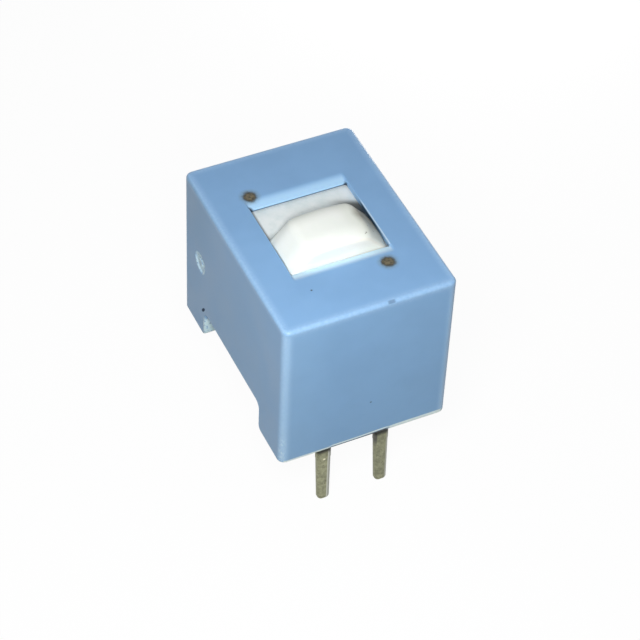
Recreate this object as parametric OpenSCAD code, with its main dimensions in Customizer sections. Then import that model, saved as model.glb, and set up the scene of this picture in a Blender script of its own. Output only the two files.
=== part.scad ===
// Single-section changeover slide DIP switch.
// X runs along the pin pitch, Y is the slide direction with -Y nearest the viewer, and Z is up.
// The origin is at the middle of the footprint, on the board's face, where the cover's feet stand.

/* [Body] */
// Width of the body across the two pins of a row
body_w = 7.11; // [6.6:0.01:7.6]
// Height of the cover's top above the board
body_h = 7.2; // [6.6:0.05:8]
// Thickness of the cover's side walls
wall = 0.65; // [0.5:0.01:0.7]
// Radius of the cover's upright edges
upright_r = 0.3; // [0.15:0.01:0.45]
// Radius of the cover's top edges
top_r = 0.15; // [0.05:0.01:0.25]
// Height of the relief under the two side walls
relief_h = 1.35; // [0.6:0.01:1.6]
// Length of the relief along the side walls
relief_d = 5.3; // [4:0.1:6]
// Radius of the relief's upper corners
relief_r = 0.3; // [0.05:0.01:0.4]
// Radius of the feet's lower corners beside the relief
foot_r = 0.25; // [0.05:0.01:0.4]

/* [Window] */
// Gap between each side of the knob and the window's side
window_side_gap = 0.07; // [0.05:0.01:0.2]
// Radius of the window's corners
window_r = 0.08; // [0.03:0.01:0.15]
// Thickness of the lip around the window
lip_t = 0.27; // [0.22:0.01:0.35]
// Length of the ramp at each end of the window
ramp_run = 0.45; // [0.2:0.01:0.8]
// Drop of the ramp at the window's edge
ramp_drop = 0.12; // [0.05:0.01:0.16]

/* [Slider] */
// Travel of the slider between its two stops
travel = 1.55; // [1.2:0.01:1.6]
// Length of the knob along the slide direction
knob_d = 2.15; // [1.9:0.01:2.3]
// Width of the knob across the slide direction
knob_w = 3.96; // [3.7:0.01:4.1]
// Slope of the knob's two flanks
flank_angle = 51; // [45:1:58]
// Radius of the knob's crown, seen along the slide direction
crown_r = 5; // [3:0.1:12]
// Radius of the knob's two shoulders, which lie along the slide direction
knob_shoulder_r = 0.6; // [0.2:0.01:0.8]
// Height of the knob's upright foot above the slider's plate
knob_foot_h = 0.17; // [0.05:0.01:0.3]
// Height of the knob's crown above the cover's top
knob_rise = 0.8; // [0.6:0.01:0.95]
// Radius of the knob's end edges
knob_edge_r = 0.55; // [0.2:0.01:0.7]
// Radius of the knob's upright corners
knob_corner_r = 0.2; // [0.1:0.01:0.4]
// Thickness of the slider's plate
plate_t = 0.63; // [0.5:0.01:0.75]
// Gap between the slider and what it runs on
running_gap = 0.05; // [0.03:0.01:0.07]

/* [Contacts] */
// Pitch of the two pins in a row
pin_pitch = 2.54; // [2.4:0.01:2.7]
// Spacing of the two rows of pins
row_spacing = 7.62; // [7.4:0.01:8]
// Width of a pin
pin_w = 0.51; // [0.4:0.01:0.6]
// Thickness of the terminals' sheet
pin_t = 0.25; // [0.2:0.01:0.3]
// Length of the pins below the board's face
pin_l = 4; // [3:0.05:4.5]
// Width of the shoulder that holds a terminal in the base
shoulder_w = 0.92; // [0.8:0.01:1.1]
// Width of a contact pad
pad_w = 1.2; // [1.1:0.01:1.4]
// Gap in the floor between the two pads of a section
pad_gap = 0.7; // [0.5:0.01:0.9]
// Thickness of the wipers' spring strip
strip_t = 0.14; // [0.1:0.01:0.16]
// Width of the wipers' spring strip
strip_w = 1.1; // [0.9:0.01:1.3]
// Distance between a wiper's two contact points
contact_span = 2.6; // [2.4:0.02:2.8]

/* [Hidden] */
$fn = 64;
overrun = 0.5;

// The pins stand just inside the end walls, so their rows set the body's length
pin_wall_gap = 0.13;
body_d = row_spacing + pin_t + 2 * (wall + pin_wall_gap);
cavity_w = body_w - 2 * wall;
cavity_d = body_d - 2 * wall;
cavity_r = 0.15;

// Heights through the stack, from the cover's top down to the base
wiper_drop = 1.05;
lip_z = body_h - lip_t;
deck_z = lip_z - running_gap;
plate_z = deck_z - plate_t;
rail_z = plate_z - running_gap;
floor_z = plate_z - wiper_drop;

// Slider: the knob and its travel set the window, and the plate covers the window at both ends
plate_end_cover = 0.175;
plate_side_cover = 0.35;
plate_r = 0.25;
rest_y = -travel / 2;
window_w = knob_w + 2 * window_side_gap;
window_d = knob_d + travel + 2 * running_gap;
plate_w = window_w + 2 * plate_side_cover;
plate_d = window_d + travel + 2 * plate_end_cover;
channel_w = plate_w + 2 * running_gap;
channel_d = plate_d + travel + 2 * running_gap;

// The knob is cored out from below to an even wall
core_side = 1.05;
core_end = 0.42;
core_crown = 0.6;
core_r = 0.2;
crown_z = body_h + knob_rise;
foot_z = deck_z + knob_foot_h;
root_z = (plate_z + deck_z) / 2;
crown_centre_z = crown_z - crown_r;
core_w = knob_w - 2 * core_side;
core_d = knob_d - 2 * core_end;
core_h = crown_z - plate_z - core_crown;

// Stakes that hold the wipers to the slider
stake_d = 0.5;
stake_head_d = 0.8;
stake_head_t = 0.18;

// Ridges inside the cover that the base snaps over, just above the relief
ridge_d = 2.4;
ridge_h = 0.4;
ridge_out = 0.18;
ridge_rise = 0.08;
base_z = relief_h + ridge_rise + ridge_h;

// Base: two troughs, one on each side of a rib, with the contact floor over a cored-out underside
trough_side_gap = 0.25;
trough_end = 0.16;
trough_r = 0.15;
base_floor_t = 1.3;
core_out_margin = 0.15;
core_out_end = 1.51;
trough_w = pad_w + 2 * trough_side_gap;
trough_d = row_spacing - 2 * trough_end;
core_out_w = trough_w + 2 * core_out_margin;
core_out_d = row_spacing - 2 * core_out_end;
core_out_h = floor_z - base_floor_t - base_z;

// Terminals: the gap between two pads lies midway between a contact point's two stops
bend_r = 0.15;
tip_r = 0.13;
neck_w = 0.63;
neck_l = 1.24;
shoulder_z = 0.25;
neck_step = (neck_w - pin_w) / 2;
shoulder_step = (shoulder_w - neck_w) / 2;
short_pad_end = -(contact_span + pad_gap) / 2;
long_pad_end = (contact_span - pad_gap) / 2;

// Wipers: a raised middle, two arms that slope down to the contact points, and turned-up toes
flat_margin = 0.05;
toe_run = 0.3;
toe_rise = 0.26;
contact_r = 0.14;
contact_gap = 0.03;
finger_slot_w = 0.2;
finger_root = 0.3;
flat_half = stake_head_d / 2 + flat_margin;

// Gate mark on the left face
gate_end = 1.61;
gate_rise = 0.15;
gate_d = 0.95;
gate_depth = 0.06;
gate_nub_d = 0.42;
gate_nub_h = 0.04;

cover_colour = [0.47, 0.64, 0.82];
base_colour = [0.36, 0.52, 0.7];
slider_colour = [0.95, 0.96, 0.95];
terminal_colour = [0.6, 0.59, 0.52];
wiper_colour = [0.8, 0.66, 0.36];

// A rectangle about the origin with round corners
module rounded_rect(w, d, r) {
    square([w - 2 * r, d], center = true);
    square([w, d - 2 * r], center = true);
    for (x = [-1, 1], y = [-1, 1])
        translate([x * (w / 2 - r), y * (d / 2 - r)])
            circle(r);
}

// A rectangle that stands on the first axis, with its two top corners round
module arch(w, h, r) {
    translate([-w / 2, 0])
        square([w, h - r]);
    translate([r - w / 2, 0])
        square([w - 2 * r, h]);
    for (x = [-1, 1])
        translate([x * (w / 2 - r), h - r])
            circle(r);
}

// Extrudes an outline drawn in X and Z along Y, and one drawn in Y and Z along X, about the origin
module along_y(length) {
    rotate([90, 0, 0])
        linear_extrude(length, center = true)
            children();
}
module along_x(length) {
    rotate([90, 0, 90])
        linear_extrude(length, center = true)
            children();
}

// A straight stretch of strip between two points, with round ends
module strip(from, to, t) {
    run = to - from;
    translate(from)
        rotate(atan2(run.y, run.x))
            translate([0, -t / 2])
                square([norm(run), t]);
    for (end = [from, to])
        translate(end)
            circle(t / 2);
}

// The moulded shell: rounded outside, open below, with a slider channel under a thin lip
module cover() {
    color(cover_colour)
        difference() {
            intersection() {
                linear_extrude(body_h)
                    rounded_rect(body_w, body_d, upright_r);
                along_y(body_d + overrun)
                    arch(body_w, body_h, top_r);
                along_x(body_w + overrun)
                    arch(body_d, body_h, top_r);
            }
            difference() {
                translate([0, 0, -overrun])
                    linear_extrude(plate_z + overrun)
                        rounded_rect(cavity_w, cavity_d, cavity_r);
                snap_ridges();
            }
            translate([0, 0, plate_z - overrun])
                linear_extrude(lip_z - plate_z + overrun)
                    rounded_rect(channel_w, channel_d, plate_r);
            translate([0, 0, lip_z - overrun])
                linear_extrude(lip_t + 2 * overrun)
                    rounded_rect(window_w, window_d, window_r);
            window_ramps();
            along_x(body_w + overrun)
                relief();
            gate_mark();
        }
}

// The two shallow ramps that lead down to the window's ends
module window_ramps() {
    for (side = [0, 180])
        rotate(side)
            along_x(window_w)
                polygon([[window_d / 2 - window_r, body_h - ramp_drop],
                         [window_d / 2, body_h - ramp_drop],
                         [window_d / 2 + ramp_run, body_h],
                         [window_d / 2 + ramp_run, body_h + overrun],
                         [window_d / 2 - window_r, body_h + overrun]]);
}

// The relief under the side walls, seen from the side, with the feet's corners beside it rounded
module relief() {
    translate([0, -overrun])
        arch(relief_d, relief_h + overrun, relief_r);
    for (side = [0, 1])
        mirror([side, 0])
            translate([relief_d / 2, 0])
                difference() {
                    translate([0, -overrun])
                        square([foot_r, foot_r + overrun]);
                    translate([foot_r, foot_r])
                        circle(foot_r);
                }
}

// Sloping ridges on the inside of the side walls, which the base rests on
module snap_ridges() {
    for (side = [0, 180])
        rotate(side)
            along_y(ridge_d)
                polygon([[cavity_w / 2, base_z],
                         [cavity_w / 2 - ridge_out, base_z],
                         [cavity_w / 2, base_z - ridge_h]]);
}

// The round mark that the mould's gate leaves: a shallow dish with the broken-off nub in it
module gate_mark() {
    translate([-body_w / 2, body_d / 2 - gate_end, body_h / 2 + gate_rise])
        rotate([0, 90, 0])
            difference() {
                translate([0, 0, -overrun])
                    cylinder(h = overrun + gate_depth, d = gate_d);
                translate([0, 0, gate_depth - gate_nub_h])
                    cylinder(h = gate_nub_h, d = gate_nub_d);
            }
}

// The block below: two contact troughs with rails for the slider, cored out from underneath
module base() {
    color(base_colour)
        difference() {
            translate([0, 0, base_z])
                linear_extrude(rail_z - base_z)
                    rounded_rect(cavity_w, cavity_d, cavity_r);
            for (side = [-1, 1]) {
                translate([side * pin_pitch / 2, 0, floor_z])
                    linear_extrude(rail_z - floor_z + overrun)
                        rounded_rect(trough_w, trough_d, trough_r);
                translate([side * pin_pitch / 2, 0, base_z - overrun])
                    linear_extrude(core_out_h + overrun)
                        rounded_rect(core_out_w, core_out_d, trough_r);
            }
            for (side = [0, 180])
                rotate(side) {
                    terminal_short();
                    terminal_long();
                    terminal_slots();
                }
        }
}

// The slots in the base's end, open outwards, that the two near terminals drop into
module terminal_slots() {
    for (side = [-1, 1])
        translate([side * pin_pitch / 2 - shoulder_w / 2, -cavity_d / 2 - overrun, base_z - overrun])
            cube([shoulder_w, (cavity_d - row_spacing - pin_t) / 2 + overrun, floor_z - base_z + overrun]);
}

// A terminal's outline seen from its end: a round-cornered tip, the pin, its wider neck and the shoulder
module terminal_front() {
    translate([0, 2 * tip_r - pin_l])
        rounded_rect(pin_w, 4 * tip_r, tip_r);
    for (side = [0, 1])
        mirror([side, 0])
            polygon([[0, 2 * tip_r - pin_l], [pin_w / 2, 2 * tip_r - pin_l],
                     [pin_w / 2, -neck_l - neck_step], [neck_w / 2, -neck_l],
                     [neck_w / 2, shoulder_z], [shoulder_w / 2, shoulder_z + shoulder_step],
                     [shoulder_w / 2, floor_z], [0, floor_z]]);
}

// A near terminal: it rises at its row, bends inwards and lies flush in the floor up to pad_end
module terminal(x, pad_end) {
    row_y = -row_spacing / 2;
    outer_r = bend_r + pin_t;
    bend_y = row_y - pin_t / 2 + outer_r;
    bend_z = floor_z - outer_r;
    translate([x, 0, 0]) {
        intersection() {
            along_y(body_d + overrun)
                terminal_front();
            along_x(pad_w) {
                translate([row_y - pin_t / 2, -pin_l])
                    square([pin_t, pin_l + bend_z]);
                intersection() {
                    translate([bend_y, bend_z])
                        difference() {
                            circle(outer_r);
                            circle(bend_r);
                        }
                    translate([bend_y - outer_r, bend_z])
                        square(outer_r);
                }
            }
        }
        translate([-pad_w / 2, bend_y, floor_z - pin_t])
            cube([pad_w, pad_end - bend_y, pin_t]);
    }
}
module terminal_short() {
    color(terminal_colour)
        terminal(pin_pitch / 2, short_pad_end);
}
module terminal_long() {
    color(terminal_colour)
        terminal(-pin_pitch / 2, long_pad_end);
}
module terminal_near_right() {
    terminal_short();
}
module terminal_far_left() {
    rotate(180)
        terminal_short();
}
module terminal_near_left() {
    terminal_long();
}
module terminal_far_right() {
    rotate(180)
        terminal_long();
}

// The white slider: a flat plate, a rounded knob, and a stake for each wiper
module slider() {
    color(slider_colour)
        translate([0, rest_y, 0])
            difference() {
                union() {
                    translate([0, 0, plate_z])
                        linear_extrude(plate_t)
                            rounded_rect(plate_w, plate_d, plate_r);
                    knob();
                    for (side = [-1, 1])
                        translate([side * pin_pitch / 2, 0, plate_z])
                            stake();
                }
                translate([0, 0, plate_z - overrun])
                    linear_extrude(core_h + overrun)
                        rounded_rect(core_w, core_d, core_r);
            }
}

// The knob: its section along the slide, cut to rounded ends and corners, with its root inside the plate
module knob() {
    intersection() {
        along_y(knob_d)
            knob_front();
        along_x(knob_w)
            translate([0, root_z])
                rounded_rect(knob_d, 2 * (crown_z - root_z), knob_edge_r);
        translate([0, 0, root_z])
            linear_extrude(crown_z)
                rounded_rect(knob_w, knob_d, knob_corner_r);
    }
}

// The knob's section: an upright foot, a sloping flank and a round shoulder on each side of a convex crown.
// It is drawn about the crown's centre, and each shoulder's circle touches the flank and the crown.
module knob_front() {
    outward = [sin(flank_angle), cos(flank_angle)];
    upward = [-cos(flank_angle), sin(flank_angle)];
    foot = [knob_w / 2, foot_z - crown_centre_z];
    root = [knob_w / 2, root_z - crown_centre_z];
    start = foot - knob_shoulder_r * outward;
    reach = crown_r - knob_shoulder_r;
    climb = sqrt((start * upward) ^ 2 - start * start + reach ^ 2) - start * upward;
    shoulder = start + climb * upward;
    crown_end = crown_r / reach * shoulder;
    translate([0, crown_centre_z]) {
        intersection() {
            circle(crown_r);
            translate([-crown_end.x, root.y])
                square([2 * crown_end.x, crown_r]);
        }
        for (side = [0, 1])
            mirror([side, 0]) {
                polygon([[0, root.y], root, foot, shoulder + knob_shoulder_r * outward, crown_end,
                         [0, crown_end.y]]);
                translate(shoulder)
                    circle(knob_shoulder_r);
            }
    }
}

// A post below the plate whose end is spread into a head over the wiper's strip
module stake() {
    translate([0, 0, -strip_t])
        cylinder(h = strip_t + plate_t / 2, d = stake_d);
    translate([0, 0, -strip_t - stake_head_t])
        cylinder(h = stake_head_t, d = stake_head_d);
}

// A bridge contact of spring strip, split into two fingers at each end, held under the slider
module wiper(x) {
    toe_z = floor_z + contact_gap + strip_t / 2;
    top_z = plate_z - strip_t / 2;
    color(wiper_colour)
        translate([x, rest_y, 0])
            difference() {
                along_x(strip_w) {
                    translate([-flat_half, plate_z - strip_t])
                        square([2 * flat_half, strip_t]);
                    for (side = [-1, 1]) {
                        heel = [side * flat_half, top_z];
                        foot = [side * contact_span / 2, toe_z];
                        strip(heel, foot, strip_t);
                        strip(foot, foot + [side * toe_run, toe_rise], strip_t);
                        translate([foot.x, floor_z + contact_gap + contact_r])
                            circle(contact_r);
                    }
                }
                for (side = [0, 180])
                    rotate(side)
                        translate([-finger_slot_w / 2, flat_half + finger_root, floor_z])
                            cube([finger_slot_w, contact_span, wiper_drop]);
                translate([0, 0, plate_z - 2 * strip_t])
                    cylinder(h = 4 * strip_t, d = stake_d);
            }
}
module wiper_left() {
    wiper(-pin_pitch / 2);
}
module wiper_right() {
    wiper(pin_pitch / 2);
}

cover();
base();
slider();
wiper_left();
wiper_right();
terminal_near_left();
terminal_near_right();
terminal_far_left();
terminal_far_right();
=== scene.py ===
"""A single-section slide DIP switch, dressed piece by piece in the order in which it is put together."""

import bpy
import numpy as np
from mathutils import Matrix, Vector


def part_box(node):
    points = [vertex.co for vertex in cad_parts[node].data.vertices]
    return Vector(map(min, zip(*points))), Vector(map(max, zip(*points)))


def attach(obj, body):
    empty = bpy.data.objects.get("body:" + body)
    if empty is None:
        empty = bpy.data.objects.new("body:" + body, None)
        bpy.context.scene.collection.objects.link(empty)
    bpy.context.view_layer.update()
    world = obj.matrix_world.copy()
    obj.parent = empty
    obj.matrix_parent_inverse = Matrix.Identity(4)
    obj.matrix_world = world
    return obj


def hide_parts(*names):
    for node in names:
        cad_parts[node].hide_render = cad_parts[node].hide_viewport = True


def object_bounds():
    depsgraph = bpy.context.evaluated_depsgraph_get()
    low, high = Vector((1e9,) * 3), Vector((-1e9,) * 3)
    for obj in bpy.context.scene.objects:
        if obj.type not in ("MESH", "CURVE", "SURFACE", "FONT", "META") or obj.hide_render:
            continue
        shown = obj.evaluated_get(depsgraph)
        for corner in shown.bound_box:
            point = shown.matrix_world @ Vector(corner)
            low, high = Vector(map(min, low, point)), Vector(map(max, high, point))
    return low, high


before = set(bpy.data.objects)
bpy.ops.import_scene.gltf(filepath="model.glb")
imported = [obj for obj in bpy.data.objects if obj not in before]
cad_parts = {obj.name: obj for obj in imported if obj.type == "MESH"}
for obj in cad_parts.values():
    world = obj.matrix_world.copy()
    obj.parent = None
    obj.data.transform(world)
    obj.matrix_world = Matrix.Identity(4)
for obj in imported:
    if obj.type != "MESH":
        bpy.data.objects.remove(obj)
cad_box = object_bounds()


# The base is the moulded block that closes the cover from below, holds the four terminals and guides
# the slider. It is injection moulded in the same family of blue plastic as the cover, cored out from
# underneath, and it snaps in over two ridges. Its solid is shown as it is, with a moulded finish.

MM = 0.001


class Shade:
    """A socket in a material. Python's operators on it add Math nodes, and node() adds any other node."""

    def __init__(self, tree, socket):
        self.tree = tree
        self.socket = socket

    def node(self, kind, settings, sockets, output=0):
        """Adds a node, with its settings set first and then its sockets' values or links."""
        made = self.tree.nodes.new(kind)
        for name, value in settings.items():
            setattr(made, name, value)
        for key, value in sockets.items():
            if isinstance(value, Shade):
                self.tree.links.new(value.socket, made.inputs[key])
            else:
                made.inputs[key].default_value = value
        return Shade(self.tree, made.outputs[output])

    def math(self, operation, first, second=0.0):
        return self.node("ShaderNodeMath", {"operation": operation}, {0: first, 1: second})

    def __add__(self, other):
        return self.math("ADD", self, other)

    def __sub__(self, other):
        return self.math("SUBTRACT", self, other)

    def __rsub__(self, other):
        return self.math("SUBTRACT", other, self)

    def __mul__(self, other):
        return self.math("MULTIPLY", self, other)

    __radd__ = __add__
    __rmul__ = __mul__

    def __abs__(self):
        return self.math("ABSOLUTE", self)

    def least(self, other):
        return self.math("MINIMUM", self, other)

    def most(self, other):
        return self.math("MAXIMUM", self, other)

    def fade(self, start, end):
        """Rises smoothly from 0 where the value is start to 1 where it is end."""
        settings = {"interpolation_type": "SMOOTHSTEP"}
        return self.node("ShaderNodeMapRange", settings, {0: self, 1: start, 2: end})

    def between(self, low, high, soft):
        """1 where the value lies between low and high, with edges that are soft wide."""
        return self.fade(low - soft, low + soft) * self.fade(high + soft, high - soft)

    def mix(self, off, on):
        """A colour that is off where the value is 0 and on where it is 1."""
        settings = {"data_type": "RGBA", "clamp_factor": True}
        return self.node("ShaderNodeMix", settings, {0: self, 6: off, 7: on}, output=2)

    def parts(self):
        """The X, Y and Z values of a vector."""
        return [self.node("ShaderNodeSeparateXYZ", {}, {0: self}, output=axis) for axis in range(3)]

    def reach(self, centre):
        """The distance from a point. It works on a place."""
        settings = {"operation": "DISTANCE"}
        return self.node("ShaderNodeVectorMath", settings, {0: self, 1: centre}, output=1)

    def spot(self, centre, radius, soft):
        """1 within radius of a point, with an edge that is soft wide. It works on a place."""
        return self.reach(centre).fade(radius + soft, radius - soft)

    def stretched(self, scale):
        return self.node("ShaderNodeVectorMath", {"operation": "MULTIPLY"}, {0: self, 1: scale})

    def noise(self, size, detail=2.0):
        """Cloudy values about 0.5, whose lumps are about size millimetres across. It works on a place."""
        sockets = {"Vector": self, "Scale": 1 / size, "Detail": detail, "Roughness": 0.55}
        return self.node("ShaderNodeTexNoise", {}, sockets)

    def bump(self, depth, normal=None):
        """A normal that follows the value as a height of up to depth millimetres."""
        sockets = {"Height": self, "Distance": depth * MM, "Strength": 1.0}
        if normal:
            sockets["Normal"] = normal
        return self.node("ShaderNodeBump", {}, sockets)


def colour(red, green, blue):
    """A shader's linear colour from the eight-bit values that it shows as on a screen."""
    screen = np.array([red, green, blue]) / 255
    linear = np.where(screen <= 0.04045, screen / 12.92, ((screen + 0.055) / 1.055) ** 2.4)
    return (*linear.tolist(), 1.0)


def start_material(name):
    """A new material, and the place on the piece in millimetres from its Object coordinates."""
    material = bpy.data.materials.new(name)
    material.use_nodes = True
    tree = material.node_tree
    coordinates = tree.nodes.new("ShaderNodeTexCoord")
    metres = Shade(tree, coordinates.outputs["Object"])
    settings = {"operation": "SCALE"}
    return material, metres.node("ShaderNodeVectorMath", settings, {0: metres, "Scale": 1 / MM})


def finish_material(material, sockets):
    """Sets values and links on the material's own surface shader."""
    tree = material.node_tree
    shader = next(n for n in tree.nodes if n.type == "BSDF_PRINCIPLED")
    for key, value in sockets.items():
        if isinstance(value, Shade):
            tree.links.new(value.socket, shader.inputs[key])
        else:
            shader.inputs[key].default_value = value
    return material


def soft_edges(place, radius):
    """A normal that rounds the sharp edges of a solid by radius millimetres."""
    return place.node("ShaderNodeBevel", {"samples": 6}, {"Radius": radius * MM})


def base_plastic():
    """Blue moulded plastic, a little deeper than the cover, with flow marks and a fine grain."""
    material, place = start_material("base_plastic")
    flow = place.stretched((0.4, 1.0, 1.6)).noise(1.6).fade(0.3, 0.7)
    grain = place.noise(0.05)
    return finish_material(material, {
        "Base Color": flow.mix(colour(92, 124, 158), colour(108, 142, 178)),
        "Roughness": grain * 0.12 + 0.42,
        "Normal": grain.bump(0.004, soft_edges(place, 0.06)),
    })


def dress(node, material):
    """Gives a solid that is shown as it is its finish."""
    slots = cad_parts[node].data.materials
    slots.clear()
    slots.append(material)


dress("base", base_plastic())


# The four terminals are stamped from tinned strip. Each pin rises through a slot in the base's end,
# bends inwards and lies flush in the floor as a contact pad. The die rolls over the edges of the outer
# face, and leaves those of the inner face crisp.

sheet = 0.25
pin_w = 0.51
neck_w = 0.63
neck_l = 1.5
taper_w = 0.6
shoulder_w = 0.92
shoulder_z = 0.25
pad_w = 1.2
tip_r = 0.13
tip_edge_r = 0.05
bend_r = 0.15
rolled_r = 0.12
crisp_r = 0.035
corner_fit_share = 0.48
tip_gap = 0.05
pad_step = 0.04
sway_depth_share = 0.2
lean_power = 1.2
dent_place = (-1.25, -3.93, -1.57)
dent_r = 0.05
bends = {"near_left": (0.0, 0.105), "near_right": (-0.05, 0.145)}


def grid_faces(rows, columns, start=0, close_rows=False, close_columns=True):
    """Four-cornered faces over a grid of points that is numbered row by row."""
    last_row = rows if close_rows else rows - 1
    last_column = columns if close_columns else columns - 1
    row = np.arange(last_row)[:, None]
    column = np.arange(last_column)[None, :]
    row_up = (row + 1) % rows
    column_up = (column + 1) % columns
    corners = [row * columns + column, row * columns + column_up,
               row_up * columns + column_up, row_up * columns + column]
    return np.stack(corners, axis=-1).reshape(-1, 4) + start


def cap_faces(ring, pole):
    """Triangles from a closed ring of points to one pole."""
    return np.stack([np.roll(ring, -1), ring, np.full(len(ring), pole)], axis=-1)


def closed_skin(rings):
    """A grid of closed rings whose first and last ring each run in to a pole at their middle."""
    count, around = rings.shape[:2]
    points = np.concatenate([rings.reshape(-1, 3), rings[:1].mean(axis=1), rings[-1:].mean(axis=1)])
    first = cap_faces(np.arange(around), count * around)
    last = cap_faces(np.arange(around)[::-1] + (count - 1) * around, count * around + 1)
    return points, [grid_faces(count, around), first, last]


def make_piece(name, points, face_groups, material, sharp_angle=0.6):
    """A mesh piece from points in millimetres, with its faces turned outwards and its curves smooth."""
    volume = 0
    for faces in face_groups:
        fan = [points[faces[:, [0, k, k + 1]]] for k in range(1, faces.shape[1] - 1)]
        volume += sum(np.einsum("ij,ij->", t[:, 0], np.cross(t[:, 1], t[:, 2])) for t in fan)
    faces = [f for group in face_groups for f in (group if volume > 0 else group[:, ::-1]).tolist()]
    mesh = bpy.data.meshes.new(name)
    mesh.from_pydata((points * MM).tolist(), [], faces)
    mesh.polygons.foreach_set("use_smooth", np.ones(len(faces), dtype=bool))
    mesh.set_sharp_from_angle(angle=sharp_angle)
    mesh.materials.append(material)
    piece = bpy.data.objects.new(name, mesh)
    bpy.context.scene.collection.objects.link(piece)
    return piece


def quarter(count, start=0.0, turn=0.5 * np.pi):
    """Angles over a quarter turn, both ends included."""
    return np.linspace(start, start + turn, count)


def box_of(node):
    """A solid's lowest and highest corners at rest, in millimetres."""
    return [np.array(corner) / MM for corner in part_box(node)]


def strip_section(width, thick):
    """A strip's section at each station: a rectangle whose outer corners are rolled and inner ones crisp.

    Each corner is a quarter circle about its own centre, and the width may change from one station to
    the next. The first axis runs across the strip and the second out of its outer face.
    """
    sides = [(1, 1, rolled_r, 0.0), (-1, 1, rolled_r, 0.5 * np.pi),
             (-1, -1, crisp_r, np.pi), (1, -1, crisp_r, 1.5 * np.pi)]
    across, out = [], []
    for side_x, side_n, radius, start in sides:
        angles = quarter(7, start)
        fit = np.minimum(radius, corner_fit_share * np.minimum(width, thick))[:, None]
        across.append(side_x * (width[:, None] / 2 - fit) + fit * np.cos(angles))
        out.append(side_n * (thick[:, None] / 2 - fit) + fit * np.sin(angles))
    return np.concatenate(across, axis=1), np.concatenate(out, axis=1)


def terminal(low, high, near, sway, lean):
    """A strip's section carried up the pin, round the bend and along the pad.

    low and high are the terminal's corners. The route is straight up at the row, then a quarter circle,
    then level to the pad's end, and the widths are those of the tip, the tapering pin, the neck, the
    shoulder and the pad. Just below the board's face the pin goes sideways by sway, and then it leans by a
    share of lean that grows towards its tip. The second array is each point's distance from one edge of the
    strip, which is the right one on the near pins.
    """
    pad_z = high[2] - sheet / 2
    row_y = low[1] + sheet / 2 if near else -high[1] + sheet / 2
    pad_end = high[1] if near else -low[1]
    middle_r = bend_r + sheet / 2
    bend_z = pad_z - middle_r
    tip = tip_r * (1 - np.cos(quarter(9)))
    up = np.concatenate([low[2] + tip, np.linspace(low[2] + tip_r + tip_gap, bend_z, 90)])
    angles = quarter(12)[1:]
    pad = np.linspace(row_y + middle_r, pad_end, 40)[1:]
    y = np.concatenate([np.full(len(up), row_y), row_y + middle_r * (1 - np.cos(angles)), pad])
    z = np.concatenate([up, bend_z + middle_r * np.sin(angles), np.full(len(pad), pad_z)])
    turn = np.concatenate([np.zeros(len(up)), angles, np.full(len(pad), 0.5 * np.pi)])
    run = np.concatenate([[0], np.cumsum(np.hypot(np.diff(y), np.diff(z)))])
    neck_step = (neck_w - taper_w) / 2
    shoulder_step = (shoulder_w - neck_w) / 2
    pad_start = run[len(up) + len(angles) - 1]
    stops = [0, -neck_l - neck_step - low[2], -neck_l - low[2], shoulder_z - low[2],
             shoulder_z + shoulder_step - low[2], pad_start, pad_start + pad_step]
    width = np.interp(run, stops, [pin_w, taper_w, neck_w, neck_w, shoulder_w, shoulder_w, pad_w])
    corner = np.clip(tip_r - run, 0, None)
    width -= 2 * (tip_r - np.sqrt(np.clip(tip_r ** 2 - corner ** 2, 0, None)))
    ends = np.clip(tip_edge_r - np.minimum(run, run[-1] - run), 0, None)
    thick = sheet - 2 * (tip_edge_r - np.sqrt(tip_edge_r ** 2 - ends ** 2))
    across, out = strip_section(width, thick)
    side = 1 if near else -1
    front_y = y[:, None] - np.cos(turn)[:, None] * out
    front_z = z[:, None] + np.sin(turn)[:, None] * out
    depth = np.clip(front_z, low[2], 0) / low[2]
    bent = sway * np.clip(depth / sway_depth_share, 0, 1) + lean * depth ** lean_power
    x = (low[0] + high[0]) / 2 + side * across + bent
    return np.stack([x, side * front_y, front_z], axis=-1), width[:, None] / 2 - across


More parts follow.
